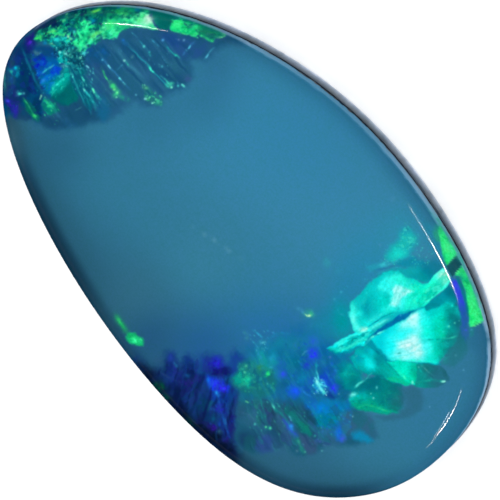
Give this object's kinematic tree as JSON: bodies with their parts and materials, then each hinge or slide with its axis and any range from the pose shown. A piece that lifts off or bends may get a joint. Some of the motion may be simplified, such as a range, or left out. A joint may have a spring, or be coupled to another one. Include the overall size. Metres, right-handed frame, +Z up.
{
  "type": "opal doublet",
  "caption": "Free-oval opal doublet cabochon: a low polished dome of blue-green precious opal on a thin black joint and a flat dark stone backing.",
  "frame": {"origin": "centre of the outline's box, on the plane of the flat back", "axes": "+X along the stone's length towards its broad end, +Y across it, +Z up through the dome"},
  "size_m": [0.02, 0.0116, 0.0029],
  "materials": {
    "precious_opal": "high polish, blue body with green and violet fire",
    "black_epoxy": "cured black epoxy, semi-gloss",
    "dark_potch": "fine ground, satin"
  },
  "bodies": {
    "root": {"opal_cap": "precious_opal", "cement_layer": "black_epoxy", "backing": "dark_potch"}
  },
  "joints": []
}
